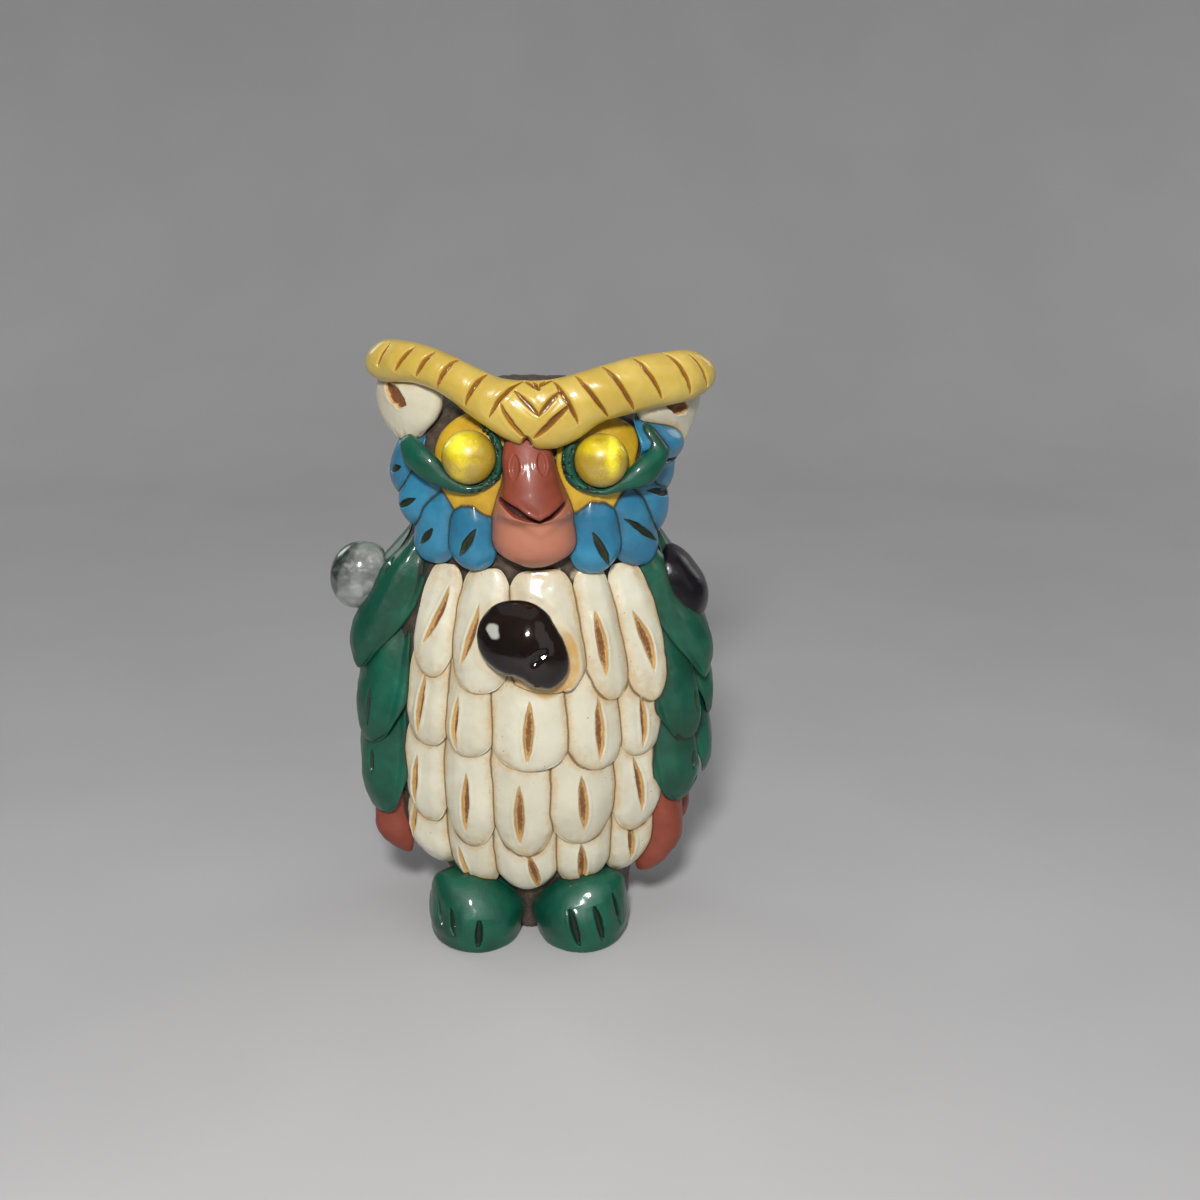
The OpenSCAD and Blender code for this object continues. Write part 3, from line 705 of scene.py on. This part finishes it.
def brow():
    p = Piece("brow", 3)
    ends = np.abs((p.co[:, 0] - p.low[0]) / p.size[0] - 0.5)
    p.push(0.5 * smooth(ends, 0.34, 0.44))
    middle = (p.low[0] + p.high[0]) / 2
    p.co[:, 0] = middle + (p.co[:, 0] - middle) * 0.975
    p.co[:, 2] = p.low[2] + (p.co[:, 2] - p.low[2]) * 0.985
    p.refine(p.normals()[:, 1] < 0.05)
    p.lumps(0.14, 0.03)
    for start, end, width in BROW_CUTS:
        p.groove(start, end, width * 0.8, 0.7, view="front", lip=0.1, valley=0.38, taper=0.5, rough=0.02)
    for lean in (-0.045, -0.02, 0.01, 0.035):
        top = (PINCH[0] + lean, PINCH[1] + 0.19 - abs(lean) * 1.2)
        p.groove(PINCH, top, 0.6, 0.5, view="front", lip=0.08, valley=0.15, taper=0.5, rough=0.02)
    x = (p.co[:, 0] - p.low[0]) / p.size[0]
    up = (p.co[:, 2] - p.low[2]) / p.size[2]
    nick = hill(x, 0.468, 0.013) * smooth(up, 0.2, 0.02)  # at the brow's lower edge
    p.co[:, 2] += 1.3 * nick
    # the nick takes the cut's colours: dark wash and painted shade
    p.cut = np.maximum(p.cut, nick)


# The mouth: shares of the beak's width, with the share of its height there, and with half the opening in mm.
MOUTH = [
    (0.0, 0.545), (0.14, 0.535), (0.32, 0.50), (0.45, 0.45), (0.58, 0.405), (0.70, 0.44), (0.86, 0.50),
    (1.0, 0.54),
]
MOUTH_OPEN = [
    (0.0, 0.2), (0.15, 0.5), (0.30, 0.8), (0.46, 0.55), (0.58, 0.22), (0.72, 0.42), (0.86, 0.3), (1.0, 0.1),
]


def beak():
    p = Piece("beak", 4)
    up = (p.co[:, 2] - p.low[2]) / p.size[2]
    middle = (p.low[0] + p.high[0]) / 2
    wider = 1 + 0.25 * smooth(up, 0.6, 0.85) + 0.22 * smooth(up, 0.35, 0.08)
    p.co[:, 0] = middle + (p.co[:, 0] - middle) * wider
    p.lumps(0.14, 0.03)
    p.co[:, 0] -= 0.35 * smooth(up, 0.6, 0.2)
    for start, end in (((0.285, 0.85), (0.29, 0.68)), ((0.60, 0.86), (0.62, 0.71))):  # nostrils
        p.groove(start, end, 1.5, 0.45, view="front", lip=0.12, taper=0.5, rough=0.03)
    p.cut *= 0.25
    n = p.normals()
    x = (p.co[:, 0] - p.low[0]) / p.size[0]
    line = p.low[2] + p.size[2] * np.interp(x, *zip(*MOUTH))
    gape = np.interp(x, *zip(*MOUTH_OPEN))
    below = line - p.co[:, 2]
    front = smooth(-n[:, 1], 0.1, 0.4)
    crack = smooth(np.abs(below - gape), gape + 0.25, gape * 0.5)
    sink = 1.5 * crack * smooth(gape, 0.05, 0.4)
    upper_lip, lower_lip = 0.45 * hill(below, -0.6, 0.8), 0.25 * hill(below, 2.2, 0.9)
    p.co[:, 1] += front * (sink - upper_lip - lower_lip)
    # painted shadow: the open mouth takes the cut's colours, darkest along the crack
    p.cut = np.maximum(p.cut, crack * front)
    p.wash = smooth(below, -0.2, 0.8)


def ears():
    gouges = {"left": ((0.20, 0.72), (0.52, 0.48), 2.8), "right": ((0.44, 0.63), (0.80, 0.54), 2.4)}
    for side in SIDES:
        p = Piece("ear_" + side, 4)
        p.lumps(0.15, 0.05)
        start, end, width = gouges[side]
        p.groove(start, end, width, 0.6, view="front", lip=0.1, taper=0.45, rough=0.22, ragged=0.45)
        # made stronger, so that more of the gouge takes the cut's darkest colour, dark wash and painted shade
        p.cut *= 1.7
        z = (p.co[:, 2] - p.low[2]) / p.size[2]
        x = (p.co[:, 0] - p.low[0]) / p.size[0]
        if side == "right":
            p.co[:, 1] += 1.6 * smooth(z, 0.6, 0.2)
        else:
            p.co[:, 0] += 1.2 * smooth(x, 0.4, 1.0) * smooth(z, 0.1, 0.5)
        wrinkle = smooth(z, 0.3, 0.05) * np.maximum(0, noise(p.co * [1, 1, 0.35], 0.7, 5))
        p.push(-0.25 * wrinkle)


def rims():
    for side in SIDES:
        p = Piece("eye_rim_" + side, 4)
        inward = 1 if side == "left" else -1
        x = (p.co[:, 0] - (p.low[0] + p.high[0]) / 2) * inward / (p.size[0] / 2)
        up = (p.co[:, 2] - p.low[2]) / p.size[2]
        p.push(0.1 * smooth(x, 0.0, -0.5))
        if side == "left":
            p.co[:, 2] -= 0.9 * smooth(x, -0.75, -1.0)
        else:
            p.co[:, 0] -= 2.3 * smooth(up, 0.55, 1.0) * smooth(x, -0.4, -0.7)
        p.lumps(0.08, 0.03)
        pits = smooth(noise(p.co, 0.4, 11), 0.1, 0.5) * smooth(x, 0.2, 0.5)
        p.push(-0.25 * pits)
        # the pits take the cut's colours: dark wash and painted shade
        p.cut = pits * 0.9


def eyes():
    """Domes with a flat back, where the CAD's beads are."""
    rings, around = 40, 96
    for side in SIDES:
        node = "eye_bead_" + side
        low, high = (np.array(v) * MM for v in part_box(node))
        radius, dome = (high[0] - low[0]) / 2, high[1] - low[1]
        middle = (low + high) / 2
        bm = bmesh.new()
        rows = []
        for k in range(1, rings + 1):
            t = k / rings * math.pi / 2
            rho, out = radius * math.sin(t), dome * math.cos(t) ** 0.92
            ring = []
            for j in range(around):
                a = 2 * math.pi * j / around
                x, z = middle[0] + rho * math.cos(a), middle[2] + rho * math.sin(a)
                ring.append(bm.verts.new((x / MM, (high[1] - out) / MM, z / MM)))
            rows.append(ring)
        tip = bm.verts.new((middle[0] / MM, low[1] / MM, middle[2] / MM))
        back = bm.verts.new((middle[0] / MM, high[1] / MM, middle[2] / MM))
        for j in range(around):
            i = (j + 1) % around
            bm.faces.new((tip, rows[0][i], rows[0][j]))
            bm.faces.new((back, rows[-1][j], rows[-1][i]))
            for a, b in zip(rows, rows[1:]):
                bm.faces.new((a[j], a[i], b[i], b[j]))
        bmesh.ops.recalc_face_normals(bm, faces=bm.faces)
        mesh = bpy.data.meshes.new(node + "_dome")
        bm.to_mesh(mesh)
        bm.free()
        p = Piece(node, mesh=mesh)
        x, z = (p.co[:, 0] - middle[0]) / radius, (p.co[:, 2] - middle[2]) / radius
        # the stain marks here are painted highlights: a broad one at the upper left of the left bead, a
        # streak right of the middle and a band near the top of the right bead
        if side == "left":
            p.stain = 0.75 * hill(z, 0.62, 0.5) * smooth(x, 0.7, -0.2) + 0.35 * hill(x, -0.3, 0.35)
        else:
            p.stain = 0.8 * hill(x, 0.42, 0.22) * smooth(z, -0.7, 0.0) + 0.45 * hill(z, 0.6, 0.3)


def reshape(p, middle, outline):
    """Gives the piece another outline in the front view, of (degrees, radius) pairs round middle."""
    x, z = p.co[:, 0] - middle[0], p.co[:, 2] - middle[1]
    angle, radius = np.degrees(np.arctan2(z, x)), np.hypot(x, z)
    bins = np.arange(-180, 180, 6)
    edge = np.array([radius[np.abs((angle - b + 180) % 360 - 180) < 6].max() for b in bins])
    now = np.interp(angle, bins, edge, period=360)
    want = radius_at(outline, angle)
    for _ in range(2):  # rounds the outline's corners off
        want = (want + radius_at(outline, angle - 8) + radius_at(outline, angle + 8)) / 3
    p.co[:, 0] = middle[0] + x * want / now
    p.co[:, 2] = middle[1] + z * want / now


# The chest stone's outline in the front view: degrees from +X, radius.
STONE_OUTLINE = [
    (-163, 6.8), (-142, 5.7), (-101, 4.6), (-79, 6.2), (-68, 7.3), (-49, 7.9), (-25, 7.7), (-6, 6.7),
    (31, 5.5), (57, 6.1), (83, 6.8), (112, 7.1), (136, 7.4), (162, 7.6), (177, 7.4),
]
FLECK, CHIP = (0.19, 0.685), (0.60, 0.40)  # shares of the stone's width and height


def stones():
    p = Piece("chest_stone", 4)
    middle = (p.low + p.high) / 2
    reshape(p, (middle[0], middle[2]), STONE_OUTLINE)
    p.push(0.12 * noise(p.co, 5.0, 4))
    share = (p.co - p.low) / p.size
    fleck = np.hypot((share[:, 0] - FLECK[0]) / 0.075, (share[:, 2] - FLECK[1]) / 0.085)
    p.stain = smooth(fleck + 0.35 * noise(p.co, 1.1, 9), 1.15, 0.75)
    x, z = share[:, 0] - CHIP[0], share[:, 2] - CHIP[1]
    dent = np.hypot((x * 0.8 + z * 0.6) / 0.16, (x * 0.6 - z * 0.8) / 0.05)
    p.push(smooth(dent, 1.6, 0.4) * (0.35 * noise(p.co, 1.1, 5) - 0.2))
    q = Piece("shoulder_stone_left", 4)
    centre = (q.low + q.high) / 2
    ray = (q.co - q.co.mean(0)) / (q.size / 2)
    ball = centre + ray / np.linalg.norm(ray, axis=1)[:, None] * q.size / 2 * [1.0, 0.92, 0.94]
    q.co = 0.25 * q.co + 0.75 * ball
    q.push(0.25 * noise(q.co, 3.4, 8))
    share = (q.co - q.low) / q.size
    q.stain = 0.75 * smooth(share[:, 2] + 0.2 * noise(q.co, 2.5, 3), 0.72, 0.98)
    b = Piece("shoulder_stone_right", 4)
    b.push(0.3 * noise(b.co, 3.8, 6))
    b.co[:, 0] = b.low[0] + (b.co[:, 0] - b.low[0]) * 0.97


# Toe cuts seen from the front, as shares of the foot's width and height: start, end, width.
TOE_CUTS = {
    "left": [
        ((0.12, 0.70), (0.16, 0.30), 0.9),
        ((0.26, 0.64), (0.30, 0.26), 1.0),
        ((0.57, 0.52), (0.55, 0.10), 1.2),
    ],
    "right": [
        ((0.40, 0.66), (0.50, 0.12), 1.2),
        ((0.65, 0.70), (0.74, 0.16), 1.2),
        ((0.83, 0.82), (0.92, 0.26), 1.0),
    ],
}


def feet():
    for side in SIDES:
        p = Piece("foot_" + side, 4)
        p.lumps(0.2, 0.03)
        for start, end, width in TOE_CUTS[side]:
            p.groove(start, end, width, 0.9, view="front", lip=0.1, valley=0.3, taper=0.5, rough=0.03)
        p.co[:, 2] = np.maximum(p.co[:, 2], 0)


def core():
    p = Piece("core", 3)
    foot = smooth(p.co[:, 2], 17, 9)  # slimmer at the foot
    p.co[:, 0] = p.co[:, 0] * (1 - 0.09 * foot) + 0.5 * foot
    p.push(0.18 * noise(p.co, 1.6, 2) + 0.14 * noise(p.co, 0.8, 3) - 0.05)
    az, z, _ = chart(p.co)  # two smears of cream clay on the neck
    residue = np.hypot((az - 33) / 9, (z - 61.5) / 1.6) + 0.6 * noise(p.co, 1.6, 21)
    small = np.hypot((az - 16) / 2.5, (z - 62) / 0.8) + 0.5 * noise(p.co, 1.0, 22)
    p.stain = np.maximum(smooth(residue, 1.0, 0.6), smooth(small, 1.0, 0.6)) * 0.9
    p.co[:, 2] = np.maximum(p.co[:, 2], 0)


def patches():
    for side in SIDES:
        p = Piece("eye_patch_" + side)
        if side == "right":  # reaches up to the brow on its outer side
            az, z, r = chart(p.co)
            x, up = (p.co[:, 0] - p.low[0]) / p.size[0], (z - p.low[2]) / p.size[2]
            p.co = from_chart(az + 6 * smooth(x, 0.4, 0.9) * smooth(up, 0.5, 0.8), z, r)
        p.lumps(0.08, 0.03)


# ---- build ----
for make in (core, brow, beak, ears, patches, rims, eyes, cheeks, stones, belly, wings, feet):
    make()
feel_neighbours()
for piece in Piece.all.values():
    piece.show()


# ---- floor, light, camera ----
def stage_mesh(name, co, faces):
    mesh = bpy.data.meshes.new(name)
    mesh.from_pydata(co, [], faces)
    mesh.polygons.foreach_set("use_smooth", [True] * len(mesh.polygons))
    o = bpy.data.objects.new(name, mesh)
    bpy.context.scene.collection.objects.link(o)
    return o


tall = cad_high.z - cad_low.z
wide, back, curve = 12 * tall, 5 * tall, 2 * tall
turns = [i / 16 * math.pi / 2 for i in range(17)]
bend = [(back - curve + curve * math.sin(a), curve - curve * math.cos(a)) for a in turns]
profile = [(-8 * tall, 0.0)] + bend + [(back, 9 * tall)]
sweep = stage_mesh(
    "sweep",
    [(x, y, z + cad_low.z) for y, z in profile for x in (-wide, wide)],
    [(2 * i, 2 * i + 1, 2 * i + 3, 2 * i + 2) for i in range(len(profile) - 1)],
)
paper = Shader("paper")
grey = paper.mix(paper.range(paper.noise(0.02, 2), 0.3, 0.7), (0.48, 0.477, 0.485), (0.50, 0.497, 0.505))
sweep.data.materials.append(paper.finish(Base_Color=grey, Roughness=0.7))

CAMERA = Vector((0.0105, -0.2395, 0.130))  # found by lining the model up with the photograph
PITCH_DOWN = 17.9  # degrees
lens = bpy.data.cameras.new("camera")
lens.lens, lens.sensor_width = 46.5, 36.0
lens.clip_start = 0.01
camera = bpy.data.objects.new("camera", lens)
camera.location = CAMERA
camera.rotation_euler = (math.radians(90 - PITCH_DOWN), 0, 0)
bpy.context.scene.collection.objects.link(camera)
bpy.context.scene.camera = camera


def area(name, place, size, watts, colour=(1, 1, 1)):
    light = bpy.data.lights.new(name, "AREA")
    light.shape, light.size, light.energy, light.color = "DISK", size, watts, colour
    o = bpy.data.objects.new(name, light)
    o.location = place
    aim = Vector((0, 0, 0.5 * tall)) - Vector(place)
    o.rotation_euler = aim.to_track_quat("-Z", "Y").to_euler()
    bpy.context.scene.collection.objects.link(o)


area("key", (-0.01, -0.31, 0.25), 0.05, 1.3, (1.0, 0.985, 0.96))
area("fill", (0.9, -0.9, 0.8), 1.2, 2.0, (0.97, 0.98, 1.0))
area("top", (-0.05, 0.05, 1.0), 1.4, 1.4)
area("rim_left", (-0.5, 0.45, 0.35), 0.35, 0.9)
area("rim_right", (0.5, 0.45, 0.35), 0.35, 0.8)
world = bpy.data.worlds.new("world")
world.use_nodes = True
world.node_tree.nodes["Background"].inputs[0].default_value = (0.75, 0.77, 0.8, 1)
world.node_tree.nodes["Background"].inputs[1].default_value = 0.13
bpy.context.scene.world = world
bpy.context.scene.view_settings.view_transform = "Standard"
